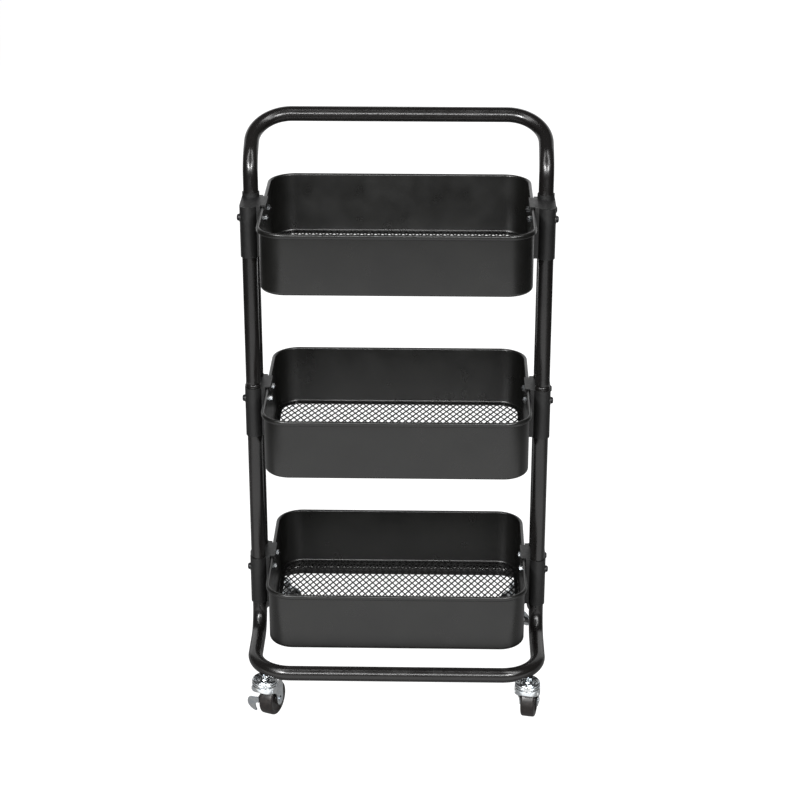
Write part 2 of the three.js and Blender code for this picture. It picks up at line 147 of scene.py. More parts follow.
def block(low, high):
    (x0, y0, z0), (x1, y1, z1) = low, high
    return prism([(x0, y0), (x1, y0), (x1, y1), (x0, y1)], z0, z1)


def arc(cx, cy, radius, start, end, steps):
    """Points of an arc, with its angles in degrees."""
    angles = [math.radians(start + (end - start) * k / steps) for k in range(steps + 1)]
    return [(cx + radius * math.cos(a), cy + radius * math.sin(a)) for a in angles]


def curve(p0, p1, p2, steps):
    """Points of a quadratic curve from p0 towards p1 to p2, without its first point."""
    points = []
    for k in range(1, steps + 1):
        t = k / steps
        weights = (1 - t) ** 2, 2 * t * (1 - t), t * t
        points.append(tuple(weights[0] * a + weights[1] * b + weights[2] * c for a, b, c in zip(p0, p1, p2)))
    return points


def moved(bm, matrix):
    """bm itself, moved by matrix and still facing outward."""
    bmesh.ops.transform(bm, matrix=matrix, verts=bm.verts)
    if matrix.determinant() < 0:
        bmesh.ops.reverse_faces(bm, faces=bm.faces)
    return bm


def lying(bm, direction):
    """A body made along Z, laid along X or Y."""
    if direction == "x":
        return moved(bm, Matrix.Rotation(math.pi / 2, 4, "Y"))
    return moved(bm, Matrix.Rotation(-math.pi / 2, 4, "X"))


def to_mesh(bm, name="mesh"):
    """A mesh made of bm, which is used up."""
    bmesh.ops.recalc_face_normals(bm, faces=bm.faces)
    mesh = bpy.data.meshes.new(name)
    bm.to_mesh(mesh)
    bm.free()
    return mesh


def applied(bm, add_modifiers):
    """The body with modifiers applied.

    add_modifiers is given the temporary object, and returns any helper objects that it made.
    """
    ob = bpy.data.objects.new("temporary", to_mesh(bm))
    bpy.context.scene.collection.objects.link(ob)
    helpers = add_modifiers(ob) or []
    graph = bpy.context.evaluated_depsgraph_get()
    result = bmesh.new()
    result.from_mesh(ob.evaluated_get(graph).to_mesh())
    ob.evaluated_get(graph).to_mesh_clear()
    for extra in [ob, *helpers]:
        mesh = extra.data
        bpy.data.objects.remove(extra)
        bpy.data.meshes.remove(mesh)
    return result


def combined(bm, tool, operation):
    """bm joined with, or cut by, tool."""

    def add(ob):
        helper = bpy.data.objects.new("tool", to_mesh(tool))
        bpy.context.scene.collection.objects.link(helper)
        modifier = ob.modifiers.new("boolean", "BOOLEAN")
        modifier.object = helper
        modifier.operation = operation
        modifier.solver = "EXACT"
        return [helper]

    return applied(bm, add)


def union(*bodies):
    result = bodies[0]
    for tool in bodies[1:]:
        result = combined(result, tool, "UNION")
    return result


def cut(bm, *tools):
    for tool in tools:
        bm = combined(bm, tool, "DIFFERENCE")
    return bm


def rounded(bm, width, segments=2, angle=40):
    """Every edge sharper than angle, in degrees, is rounded over."""

    def add(ob):
        modifier = ob.modifiers.new("bevel", "BEVEL")
        modifier.width = width
        modifier.segments = segments
        modifier.limit_method = "ANGLE"
        modifier.angle_limit = math.radians(angle)
        modifier.use_clamp_overlap = True

    return applied(bm, add)


def piece(name, bm, node, material, smooth=35):
    """A finished object that rides on the CAD node's body and stands for that node.

    Edges sharper than smooth, in degrees, stay sharp.
    """
    mesh = to_mesh(bm, name)
    mesh.transform(Matrix.Scale(MM, 4))
    mesh.shade_smooth()
    mesh.set_sharp_from_angle(angle=math.radians(smooth))
    mesh.materials.append(material)
    ob = bpy.data.objects.new(name, mesh)
    bpy.context.scene.collection.objects.link(ob)
    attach(ob, body_with(node))
    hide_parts(node)


def body_with(node):
    """The name of the rigid body that the node belongs to."""
    for body, members in frame["record"]["behaviour"]["bodies"].items():
        if node in members:
            return body
    raise ValueError(node)


# ---- Finishes -----------------------------------------------------------------------------------


class Finish:
    """A Principled material with a little vocabulary for procedural detail in object space."""

    def __init__(self, name, **values):
        self.material = bpy.data.materials.new(name)
        self.material.use_nodes = True
        tree = self.material.node_tree
        self.nodes, self.links = tree.nodes, tree.links
        self.shader = self.nodes["Principled BSDF"]
        self.coordinates = self.nodes.new("ShaderNodeTexCoord").outputs["Object"]
        for socket, value in values.items():
            self.shader.inputs[socket.replace("_", " ")].default_value = value

    def noise(self, size, detail=3.0, stretch=(1, 1, 1)):
        """Noise whose features are about size metres across."""
        mapping = self.nodes.new("ShaderNodeMapping")
        mapping.inputs["Scale"].default_value = stretch
        self.links.new(self.coordinates, mapping.inputs["Vector"])
        node = self.nodes.new("ShaderNodeTexNoise")
        node.inputs["Scale"].default_value = 1 / size
        node.inputs["Detail"].default_value = detail
        self.links.new(mapping.outputs["Vector"], node.inputs["Vector"])
        return node.outputs["Fac"]

    def spots(self, size):
        node = self.nodes.new("ShaderNodeTexVoronoi")
        node.inputs["Scale"].default_value = 1 / size
        self.links.new(self.coordinates, node.inputs["Vector"])
        return node.outputs["Distance"]

    def spread(self, factor, low, high, start=0.3, end=0.7):
        """Factor between start and end, spread over the values low to high."""
        node = self.nodes.new("ShaderNodeMapRange")
        node.inputs["From Min"].default_value = start
        node.inputs["From Max"].default_value = end
        node.inputs["To Min"].default_value = low
        node.inputs["To Max"].default_value = high
        self.links.new(factor, node.inputs["Value"])
        return node.outputs["Result"]

    def colours(self, factor, stops):
        node = self.nodes.new("ShaderNodeValToRGB")
        ramp = node.color_ramp
        while len(ramp.elements) < len(stops):
            ramp.elements.new(0.5)
        for element, (place, colour) in zip(ramp.elements, stops):
            element.position = place
            element.color = (*colour, 1)
        self.links.new(factor, node.inputs["Fac"])
        self.links.new(node.outputs["Color"], self.shader.inputs["Base Color"])

    def roughness(self, factor):
        self.links.new(factor, self.shader.inputs["Roughness"])

    def bumps(self, *layers):
        """Layers of (height factor, depth in metres, strength), the last outermost."""
        below = None
        for height, depth, strength in layers:
            node = self.nodes.new("ShaderNodeBump")
            node.inputs["Distance"].default_value = depth
            node.inputs["Strength"].default_value = strength
            self.links.new(height, node.inputs["Height"])
            if below:
                self.links.new(below, node.inputs["Normal"])
            below = node.outputs["Normal"]
        self.links.new(below, self.shader.inputs["Normal"])


def powder_coat(name, dark, light, roughness):
    """Baked black powder: soft clouding of colour and gloss, and a faint orange peel."""
    coat = Finish(name, Specular_IOR_Level=0.5)
    coat.colours(coat.noise(0.05, 4), [(0.3, dark), (0.7, light)])
    coat.roughness(coat.spread(coat.noise(0.03, 1), roughness - 0.03, roughness + 0.04))
    coat.bumps((coat.noise(0.004, 0), 0.00003, 0.06))
    return coat.material


def grained_plastic():
    """Black moulded plastic with a spark-eroded grain."""
    plastic = Finish("clamp_plastic", Specular_IOR_Level=0.4)
    plastic.colours(plastic.noise(0.0012, 3), [(0.35, (0.003, 0.003, 0.003)), (0.7, (0.008, 0.008, 0.008))])
    plastic.roughness(plastic.spread(plastic.noise(0.003, 3), 0.38, 0.52))
    plastic.bumps(
        (plastic.spots(0.0011), 0.00012, 0.5),
        (plastic.noise(0.0006, 3), 0.00008, 0.6),
    )
    return plastic.material


def black_oxide():
    """Blackened steel, cloudy and slightly worn."""
    oxide = Finish("black_screw", Metallic=0.85)
    oxide.colours(oxide.noise(0.002, 3), [(0.3, (0.012, 0.012, 0.013)), (0.75, (0.03, 0.03, 0.032))])
    oxide.roughness(oxide.spread(oxide.noise(0.0015, 3), 0.28, 0.45))
    oxide.bumps((oxide.noise(0.0005, 2), 0.00002, 0.5))
    return oxide.material


def zinc(name, roughness, brightness):
    """Bright zinc: bluish, cloudy, with fine rolling lines under the plating."""
    plate = Finish(name, Metallic=1.0)
    cool = tuple(brightness * c for c in (0.62, 0.67, 0.72))
    warm = tuple(brightness * c for c in (0.82, 0.83, 0.82))
    plate.colours(plate.noise(0.006, 4), [(0.32, cool), (0.68, warm)])
    plate.roughness(plate.spread(plate.noise(0.003, 4), roughness, roughness + 0.12))
    plate.bumps(
        (plate.noise(0.0022, 3), 0.00012, 0.3),
        (plate.noise(0.0005, 2, (1, 1, 6)), 0.00003, 0.35),
    )
    return plate.material


def wheel_plastic():
    """Hard black plastic with a scuffed, slightly brown running face."""
    plastic = Finish("wheel_plastic", Specular_IOR_Level=0.5)
    plastic.colours(
        plastic.noise(0.004, 5),
        [(0.3, (0.007, 0.006, 0.006)), (0.62, (0.014, 0.011, 0.01)), (0.8, (0.024, 0.02, 0.018))],
    )
    plastic.roughness(plastic.spread(plastic.noise(0.002, 4), 0.28, 0.5))
    plastic.bumps((plastic.noise(0.0011, 4), 0.00005, 0.5))
    return plastic.material


TUBE_COAT = powder_coat("tube_coat", (0.0035, 0.0031, 0.003), (0.0055, 0.005, 0.0048), 0.25)
BASKET_COAT = powder_coat("basket_coat", (0.0022, 0.0022, 0.002), (0.004, 0.004, 0.0036), 0.3)
MESH_COAT = powder_coat("mesh_coat", (0.002, 0.002, 0.002), (0.004, 0.004, 0.004), 0.42)
CLAMP_PLASTIC = grained_plastic()
BLACK_SCREW = black_oxide()
ZINC_NUT = zinc("zinc_nut", 0.3, 0.35)
ZINC_PLATE = zinc("zinc_plate", 0.14, 1.0)
WHEEL_PLASTIC = wheel_plastic()


# ---- Bent tubes ---------------------------------------------------------------------------------

TUBE_SIDES = 48
SPIGOT_R = TUBE_R - 1.6
SPIGOT_BORE = TUBE_R - 2.8
EASING = 0.7  # how far a tube's cut end is eased over


def bent_route(corners, radii, step=math.radians(3)):
    """Stations (point, tangent) along straight runs whose corners are rounded to their radii."""
    stations = [(corners[0], (corners[1] - corners[0]).normalized())]
    for i, radius in enumerate(radii, start=1):
        before = (corners[i] - corners[i - 1]).normalized()
        after = (corners[i + 1] - corners[i]).normalized()
        turn = before.angle(after)
        start = corners[i] - before * radius * math.tan(turn / 2)
        inward = (after - before * after.dot(before)).normalized()
        steps = max(2, round(turn / step))
        for k in range(steps + 1):
            a = turn * k / steps
            place = start + before * radius * math.sin(a) + inward * radius * (1 - math.cos(a))
            stations.append((place, before * math.cos(a) + inward * math.sin(a)))
    stations.append((corners[-1], (corners[-1] - corners[-2]).normalized()))
    return stations


def swept_tube(stations, outer, bore):
    """A hollow tube. outer and bore give its radii at each station."""
    previous = stations[0][1]
    across = previous.orthogonal().normalized()
    outside, inside = [], []
    for (place, tangent), r_out, r_in in zip(stations, outer, bore):
        across = previous.rotation_difference(tangent) @ across
        previous = tangent
        other = tangent.cross(across)
        angles = [2 * math.pi * k / TUBE_SIDES for k in range(TUBE_SIDES)]
        ring = [across * math.cos(a) + other * math.sin(a) for a in angles]
        outside.append([place + d * r_out for d in ring])
        inside.append([place + d * r_in for d in ring])
    return ringed(outside + inside[::-1])


def with_ends(stations, spigot=0.0):
    """The stations, outer radii and bores of a tube whose ends are eased over.

    Each end carries on as a smaller swaged spigot of the given length, where there is one.
    """
    bore = TUBE_R - TUBE_WALL
    end_bore = SPIGOT_BORE if spigot else bore
    ending = [(0.0, TUBE_R - EASING, end_bore), (-EASING, TUBE_R, end_bore), (-4.0, TUBE_R, bore)]
    if spigot:
        tip = [(spigot, SPIGOT_R - EASING), (spigot - 2.0, SPIGOT_R), (0.2, SPIGOT_R)]
        ending = [(beyond, outer, SPIGOT_BORE) for beyond, outer in tip] + ending
    (first, start), (last, end) = stations[0], stations[-1]
    rows = [((first - start * beyond, start), outer, inner) for beyond, outer, inner in ending]
    rows += [(station, TUBE_R, bore) for station in stations[1:-1]]
    rows += [((last + end * beyond, end), outer, inner) for beyond, outer, inner in reversed(ending)]
    return zip(*rows)


def handle_tube():
    low, high = box_mm("handle_tube")
    top = high.z - TUBE_R
    back = high.y - TUBE_R
    fold = top - (back - TUBE_Y) / math.tan(HANDLE_LEAN)
    corners = [
        Vector((-TUBE_X, TUBE_Y, low.z)),
        Vector((-TUBE_X, TUBE_Y, fold)),
        Vector((-TUBE_X, back, top)),
        Vector((TUBE_X, back, top)),
        Vector((TUBE_X, TUBE_Y, fold)),
        Vector((TUBE_X, TUBE_Y, low.z)),
    ]
    stations = bent_route(corners, [HANDLE_FOLD_R, CORNER_R, CORNER_R, HANDLE_FOLD_R])
    body = swept_tube(*with_ends(stations))
    piece("handle_tube_bent", body, "handle_tube", TUBE_COAT, 50)


def base_tube(row, sy):
    node = f"{row}_base_tube"
    low, high = box_mm(node)
    far = (high.y if sy > 0 else low.y) - sy * TUBE_R
    level = low.z + TUBE_R
    joint = JOINT_Z - GAP
    corners = [
        Vector((-TUBE_X, sy * TUBE_Y, joint)),
        Vector((-TUBE_X, sy * TUBE_Y, level)),
        Vector((-TUBE_X, far, level)),
        Vector((TUBE_X, far, level)),
        Vector((TUBE_X, sy * TUBE_Y, level)),
        Vector((TUBE_X, sy * TUBE_Y, joint)),
    ]
    stations = bent_route(corners, [BASE_FOLD_R, CORNER_R, CORNER_R, BASE_FOLD_R])
    body = swept_tube(*with_ends(stations, spigot=high.z - joint))
    piece(f"{row}_base_bent_tube", body, node, TUBE_COAT, 50)


def front_post(side, sx):
    node = f"front_post_{side}"
    low, high = box_mm(node)
    ends = [Vector((sx * TUBE_X, -TUBE_Y, z)) for z in (low.z, high.z)]
    stations = bent_route(ends, [])
    body = swept_tube(*with_ends(stations))
    piece(f"{node}_tube", body, node, TUBE_COAT, 50)


handle_tube()
for row_name, row_sign in ROWS:
    base_tube(row_name, row_sign)
for side_name, side_sign in SIDES:
    front_post(side_name, side_sign)


# ---- Baskets ------------------------------------------------------------------------------------

CORNER_STEPS = 20
RIM_HEIGHT = 7.0
FOOT_BEND = 5.0  # the radius where the wall turns into the flange


def plan_ring(inset, z):
    """The basket's plan at height z, drawn in from the rim's outside by inset."""
    points = []
    x, y = BASKET_W / 2 - BASKET_CORNER, BASKET_D / 2 - BASKET_CORNER
    for sx, sy, start in ((1, 1, 0), (-1, 1, 90), (-1, -1, 180), (1, -1, 270)):
        points += arc(sx * x, sy * y, BASKET_CORNER - inset, start, start + 90, CORNER_STEPS)
    return [(px, py, z) for px, py in points]


def basket_profile():
    """The folded sheet's closed section as (inset from the rim's outside, height from the rim's top)."""
    wall_in = RIM_PROUD + SHEET
    rim_r = wall_in / 2
    under_rim = -RIM_HEIGHT
    foot = RIM_PROUD + FOOT_BEND
    foot_z = FOOT_BEND - BASKET_H
    points = [(wall_in - x, y) for x, y in arc(rim_r, -rim_r, rim_r, 180, 0, 10)]
    points += [(wall_in - x, y) for x, y in arc(rim_r, under_rim + rim_r, rim_r, 0, -80, 6)][1:]
    points += [(RIM_PROUD - 0.25, under_rim + 0.25)]
    points += [(RIM_PROUD, under_rim + 0.9), (RIM_PROUD, under_rim - 0.6)]
    points += [(foot - x, y) for x, y in arc(0, foot_z, FOOT_BEND, 0, -90, 8)]
    points += [(RIM_PROUD + FLANGE, -BASKET_H), (RIM_PROUD + FLANGE, -BASKET_H + SHEET)]
    points += [(foot - x, y) for x, y in arc(0, foot_z, FOOT_BEND - SHEET, -90, 0, 8)]
    return points


def basket_wall(tier):
    node = f"{tier}_basket_wall"
    top = box_mm(node)[1].z
    rings = [plan_ring(inset, top + z) for inset, z in basket_profile()]
    body = ringed(rings)
    piece(f"{tier}_basket_shell", body, node, BASKET_COAT, 45)


CELL_W = 10.0  # one diamond of the mesh, across and along
CELL_L = 17.5
STRAND = 2.05  # a strand's width
STRAND_TILT = 0.35  # how far the corners of a diamond are lifted and lowered
STRAND_THICK = 0.7


def mesh_floor(inset):
    """Expanded steel: a sheet of diamonds whose strands are tilted by the stretching."""
    half_w, half_l = CELL_W / 2, CELL_L / 2
    slope = math.hypot(half_w, half_l)
    hole_w = half_w - STRAND / 2 * slope / half_l
    hole_l = half_l - STRAND / 2 * slope / half_w
    bm = bmesh.new()
    columns = math.ceil(BASKET_W / CELL_W / 2) + 1
    rows = math.ceil(BASKET_D / CELL_L) + 1
    for j in range(-rows, rows + 1):
        for i in range(-columns, columns + 1):
            cx = i * CELL_W + (j % 2) * half_w
            cy = j * half_l
            outer = [(half_w, 0), (0, half_l), (-half_w, 0), (0, -half_l)]
            inner = [(hole_w, 0), (0, hole_l), (-hole_w, 0), (0, -hole_l)]
            lift = [STRAND_TILT, 0, -STRAND_TILT, 0]
            ring = [bm.verts.new((cx + x, cy + y, 0)) for x, y in outer]
            hole = [bm.verts.new((cx + x, cy + y, z)) for (x, y), z in zip(inner, lift)]
            for k in range(4):
                n = (k + 1) % 4
                bm.faces.new((ring[k], ring[n], hole[n], hole[k]))
    bmesh.ops.remove_doubles(bm, verts=bm.verts, dist=0.01)
    trim_to_plan(bm, inset)

    def thicken(ob):
        modifier = ob.modifiers.new("sheet", "SOLIDIFY")
        modifier.thickness = STRAND_THICK
        modifier.offset = 0

    return applied(bm, thicken)


def trim_to_plan(bm, inset):
    """Cuts away what lies outside the basket's plan, tangent by tangent."""
    x, y = BASKET_W / 2 - BASKET_CORNER, BASKET_D / 2 - BASKET_CORNER
    radius = BASKET_CORNER - inset
    tangents = 32
    for k in range(tangents):
        a = 2 * math.pi * k / tangents
        out = Vector((math.cos(a), math.sin(a), 0))
        centre = Vector((math.copysign(x, out.x), math.copysign(y, out.y), 0))
        bmesh.ops.bisect_plane(
            bm,
            geom=bm.verts[:] + bm.edges[:] + bm.faces[:],
            plane_co=centre + out * radius,
            plane_no=out,
            clear_outer=True,
        )


def basket_mesh(tier, floor):
    node = f"{tier}_basket_mesh"
    low, high = box_mm(node)
    body = moved(floor.copy(), Matrix.Translation((0, 0, (low.z + high.z) / 2)))
    piece(f"{tier}_expanded_mesh", body, node, MESH_COAT, 30)


mesh_body = mesh_floor(RIM_PROUD + SHEET + GAP + 0.3)
for tier_name in TIERS:
    basket_wall(tier_name)
    basket_mesh(tier_name, mesh_body)
mesh_body.free()


# ---- Clamps -------------------------------------------------------------------------------------

CLAMP_WRAP = 1.8
CLAMP_DROP = 71.0
CLAMP_TOP = 2.0 + GAP
CLAMP_BORE = TUBE_R + GAP
COLLAR_R = 12.0  # the ring round the handle tube on a top clamp
COLLAR_TOP = CLAMP_TOP + 6.0
PAD_R = 6.2  # the round boss under a screw head
SCREW_HOLE = 2.8
BOLT_DROP = 15.0


def clamp(is_top):
    """A moulded clamp with u, inward from the tubes, along X, and heights from the basket's rim."""
    sleeve_r = TUBE_R + CLAMP_WRAP
    wall_in = TUBE_X - (BASKET_W / 2 - RIM_PROUD) - GAP
    rim_in = wall_in - RIM_PROUD
    web = 26.0
    hook_y = 21.0
    hook_in = 24.0
    behind_rim = wall_in + 2 * GAP + SHEET
    rim_under = -RIM_HEIGHT - GAP
    sleeve = arc(0, TUBE_Y, sleeve_r, 0, 180, 28) + arc(0, -TUBE_Y, sleeve_r, 180, 360, 28)
    # Hundredths keep two blocks' faces out of one plane, which the unions need.
    parts = [
        prism(sleeve, -CLAMP_DROP, CLAMP_TOP),
        block((2, -web, -CLAMP_DROP + 0.4), (wall_in, web, rim_under)),
        block((2.5, -web + 0.05, -CLAMP_DROP + 12), (rim_in, web - 0.05, CLAMP_TOP - 0.02)),
        block((3, -hook_y, GAP), (hook_in, hook_y, CLAMP_TOP - 0.01)),
        block((behind_rim, -hook_y + 0.5, -5), (hook_in - 0.02, hook_y - 0.5, CLAMP_TOP - 0.5)),
    ]
    for _, sy in ROWS:
        pad = lying(turned([(0, -2), (PAD_R, -2), (PAD_R, 0), (0, 0)], 32), "x")
        parts.append(moved(pad, Matrix.Translation((1.85 - sleeve_r, sy * TUBE_Y, -BOLT_DROP))))
    if is_top:
        collar = turned([(0, -1), (COLLAR_R, -1), (COLLAR_R, COLLAR_TOP), (0, COLLAR_TOP)], 56)
        parts.append(moved(collar, Matrix.Translation((0, TUBE_Y, 0))))
    bores = []
    for _, sy in ROWS:
        foot, end = -CLAMP_DROP - 2, 0.0 if is_top and sy < 0 else CLAMP_TOP + 10
        bore = turned([(0, foot), (CLAMP_BORE, foot), (CLAMP_BORE, end), (0, end)], 56)
        bores.append(moved(bore, Matrix.Translation((0, sy * TUBE_Y, 0))))
    body = rounded(cut(union(*parts), *bores), 0.8, 3, 38)
    holes = []
    for _, sy in ROWS:
        hole = lying(turned([(0, -16), (SCREW_HOLE, -16), (SCREW_HOLE, 26), (0, 26)], 20), "x")
        holes.append(moved(hole, Matrix.Translation((0, sy * TUBE_Y, -BOLT_DROP))))
    return cut(body, *holes)


def place_clamp(tier, side, sx, body):
    """A copy of the clamp on one side of the cart, with u turned inward."""
    node = f"{tier}_clamp_{side}"
    rim = box_mm(f"{tier}_basket_wall")[1].z
    place = Matrix.Translation((sx * TUBE_X, 0, rim)) @ Matrix.Diagonal((-sx, 1, 1, 1))
    piece(f"{node}_moulding", moved(body.copy(), place), node, CLAMP_PLASTIC, 40)


top_clamp, plain_clamp = clamp(True), clamp(False)
for tier_name in TIERS:
    for side_name, side_sign in SIDES:
        clamp_body = top_clamp if tier_name == "top" else plain_clamp
        place_clamp(tier_name, side_name, side_sign, clamp_body)


# ---- Screws and nuts ----------------------------------------------------------------------------

SCREW_HEAD_R = 4.8
SCREW_HEAD_H = 3.6
SHANK_R = 2.5
PITCH = 0.8
THREAD_START = 12.0
NUT_R = 4.6
NUT_BORE = 2.75


def screw_body(reach):
    """A pan-head machine screw along -Z from the underside of its head, with a cross recess."""
    crown = [(SCREW_HEAD_R * part, z) for part, z in ((1, 0.9), (0.97, 1.9), (0.84, 2.8), (0.6, 3.4))]
    thread = []
    z = -THREAD_START
    while z > -reach + 1.2:
        thread += [(SHANK_R, z), (SHANK_R - 0.35, z - PITCH / 2)]
        z -= PITCH
    profile = [(0, -reach), (SHANK_R - 0.8, -reach)] + thread[::-1]
    profile += [(SHANK_R, -0.3), (SHANK_R, 0), (SCREW_HEAD_R - 0.3, 0), (SCREW_HEAD_R, 0.3)]
    body = turned(profile + crown + [(0, SCREW_HEAD_H)], 32)
    reach_out, half_slot, recess_z, above = 2.6, 0.5, 1.9, 5
    slots = [
        block((-reach_out, -half_slot, recess_z), (reach_out, half_slot, above)),
        block((-half_slot, -reach_out, recess_z), (half_slot, reach_out, above)),
    ]
    return cut(body, union(*slots))


def hexagon(radius):
    """The corners of a hexagon as (x, y) points."""
    return [(radius * math.cos(a), radius * math.sin(a)) for a in (k * math.pi / 3 for k in range(6))]


def nut_body(height):
    """A hexagon nut from Z 0 upward, its corners turned off."""
    flat, full = NUT_R * 0.88, NUT_R + 0.02
    corners_off = [(0, 0), (flat, 0), (full, 0.5), (full, height - 0.5), (flat, height), (0, height)]
    body = combined(prism(hexagon(NUT_R), 0, height), turned(corners_off, 48), "INTERSECT")
    bore = turned([(0, -1), (NUT_BORE, -1), (NUT_BORE, height + 1), (0, height + 1)], 32)
    return cut(body, bore)


def lay_along_x(node, suffix, body, sunk, facing, turn, material):
    """A copy of body on the node's axis, sunk by that much from the node's outer face."""
    low, high = box_mm(node)
    outward = 1 if low.x > 0 else -1
    outer_face = high.x if outward > 0 else low.x
    middle = (low + high) / 2
    place = Matrix.Translation((outer_face - outward * sunk, middle.y, middle.z))
    lay = Matrix.Rotation(outward * facing * math.pi / 2, 4, "Y") @ Matrix.Rotation(turn, 4, "Z")
    piece(f"{node}_{suffix}", moved(body.copy(), place @ lay), node, material)


def fasteners():
    """A screw from outside and a nut in the basket at each clamp hole, each turned its own way."""
    bolt_low, bolt_high = box_mm("top_bolt_right_front")
    nut_low, nut_high = box_mm("top_nut_right_front")
    screw = screw_body(bolt_high.x - bolt_low.x - SCREW_HEAD_H)
    nut = nut_body(nut_high.x - nut_low.x)
    turn = 0.4
    for tier in TIERS:
        for side, _ in SIDES:
            for row, _ in ROWS:
                bolt_node, nut_node = f"{tier}_bolt_{side}_{row}", f"{tier}_nut_{side}_{row}"
                lay_along_x(bolt_node, "screw", screw, SCREW_HEAD_H, 1, turn, BLACK_SCREW)
                lay_along_x(nut_node, "hex", nut, 0.0, -1, turn, ZINC_NUT)
                turn += 1.1


fasteners()


# ---- Casters ------------------------------------------------------------------------------------

# A caster is made around its stem's axis on the floor, with +X the way its wheel trails.

TRAIL = 23.0
AXLE_Z = 25.0
WHEEL_HALF = 10.0
LEG_IN = 11.4  # from the wheel's middle plane to the inside of a fork leg
PLATE = 1.8
LEG_OUT = LEG_IN + PLATE
EYE_R = 9.0
HEAD_R = 18.5
HEAD_TOP = 69.5
CROWN_Z = 56.0
LIP_FRONT = 54.5  # the housing's lower edge in front
LIP_SIDE = 49.5
STEM_R = 4.0
NECK_R = 5.5
NECK_BORE = 6.1
AXLE_R = 3.0
RUNNING_BORE = 3.5  # what turns on the axle: the wheel and the lever
HEX_R = 7.4
HEX_HEIGHT = 5.2
RIVET_R = 4.6
LEVER_PLATE = 1.6
LEVER_EYE = 7.5
PEDAL_X = 5.5
PEDAL_OUT = 20.0
PEDAL_TOP = 30.0
PEDAL_LOW = 7.0
ARM_LOW = 21.0


def smoothstep(t):
    """An eased step from 0 to 1 as t goes from 0 to 1."""
    t = min(max(t, 0.0), 1.0)
    return t * t * (3 - 2 * t)


def lip_height(angle):
    """The housing's lower edge: it hangs lower at the sides, and clears the wheel behind."""
    side = abs(math.sin(angle))
    if math.cos(angle) > 0:
        side = smoothstep((side - 0.6) / 0.4)
    return LIP_FRONT + (LIP_SIDE - LIP_FRONT) * side ** 1.5


def housing():
    """The round race housing: a pressed skirt with two grooves, a rolled top edge and a dished top."""
    lip = -1.0  # a profile point below 0 stands for the lower edge, whose height varies round it
    # The skirt upward, over the rolled edge, then the dish's rings inward, from HEAD_R and HEAD_TOP.
    pressed = [
        (0.0, -9.3),
        (-0.1, -9.0),
        (-1.4, -8.2),
        (-1.4, -7.2),
        (-0.2, -6.5),
        (-0.2, -5.0),
        (-1.1, -4.3),
        (-1.1, -3.6),
        (-0.4, -2.9),
        (-0.9, -1.3),
        (-1.8, -0.4),
        (-2.6, 0.0),
        (-3.2, -0.2),
        (-3.7, -0.9),
        (-4.2, -1.7),
        (-5.1, -2.1),
        (-5.9, -1.8),
        (-6.4, -1.2),
        (-7.0, -1.1),
        (-7.6, -1.8),
        (-8.2, -2.7),
        (-9.1, -3.1),
        (-9.9, -2.9),
        (-10.6, -2.3),
        (-11.4, -2.2),
        (-12.3, -2.7),
    ]
    rounded_lip = lip / 2
    section = [(HEAD_R - 0.5, lip), (HEAD_R, rounded_lip)]
    section += [(HEAD_R + dr, HEAD_TOP + dz) for dr, dz in pressed]
    section += [(6.2, CROWN_Z + PLATE), (HEAD_R - 2.2, CROWN_Z + PLATE), (HEAD_R - 1.9, CROWN_Z + 0.6)]
    section += [(HEAD_R - 1.7, rounded_lip), (HEAD_R - 1.2, lip)]

    def low_edge(z, angle):
        if z > 0:
            return z
        return lip_height(angle) + (0.5 if z == rounded_lip else 0.0)

    return turned(section, 72, closed=True, low_edge=low_edge)


def leg_outline():
    """A fork leg seen from the side, as (trail, height) points."""
    front = -HEAD_R / 2
    points = [(front, CROWN_Z + 1.0), (front, CROWN_Z - 4.5)]
    points += curve((front, CROWN_Z - 4.5), (TRAIL / 3, CROWN_Z - 10.0), (TRAIL - EYE_R, AXLE_Z), 14)
    points += arc(TRAIL, AXLE_Z, EYE_R, 180, 360, 24)[1:]
    back = (TRAIL + EYE_R, AXLE_Z + 2 * EYE_R)
    return points + [back] + curve(back, (TRAIL + EYE_R, CROWN_Z), (17.5, CROWN_Z + 1.6), 10)


def sliced(bm, axis, places):
    """Cuts edges into bm across the axis, so that it can be bent."""
    for place in places:
        geometry = bm.verts[:] + bm.edges[:] + bm.faces[:]
        bmesh.ops.bisect_plane(bm, geom=geometry, plane_co=axis * place, plane_no=axis)


def fork_leg(side):
    """A leg that swells out from the wheel's side to meet the housing."""
    bm = prism(leg_outline(), 0, PLATE)
    sliced(bm, Vector((1, 0, 0)), range(-8, 32, 2))
    sliced(bm, Vector((0, 1, 0)), range(17, 54, 2))
    for vert in bm.verts:
        x, z, out = vert.co
        swell = 3.9 * smoothstep((z - AXLE_Z) / 22) * smoothstep((24 - x) / 22)
        vert.co = Vector((x, side * (LEG_IN + out + swell), z))
    return bm


def fork_body():
    """The housing with its crown plate and two legs, bored for the stem and the axle."""
    crown = block((-6, -LEG_OUT + 0.4, CROWN_Z), (17, LEG_OUT - 0.4, CROWN_Z + PLATE + 0.02))
    body = union(housing(), crown, fork_leg(-1), fork_leg(1))
    above = CROWN_Z + 4
    bore = turned([(0, 40), (NECK_BORE, 40), (NECK_BORE, above), (0, above)], 40)
    axle_hole = AXLE_R + GAP
    hole = lying(turned([(0, -20), (axle_hole, -20), (axle_hole, 20), (0, 20)], 28), "y")
    body = cut(body, bore, moved(hole, Matrix.Translation((TRAIL, 0, AXLE_Z))))
    return rounded(body, 0.35, 2, 50)


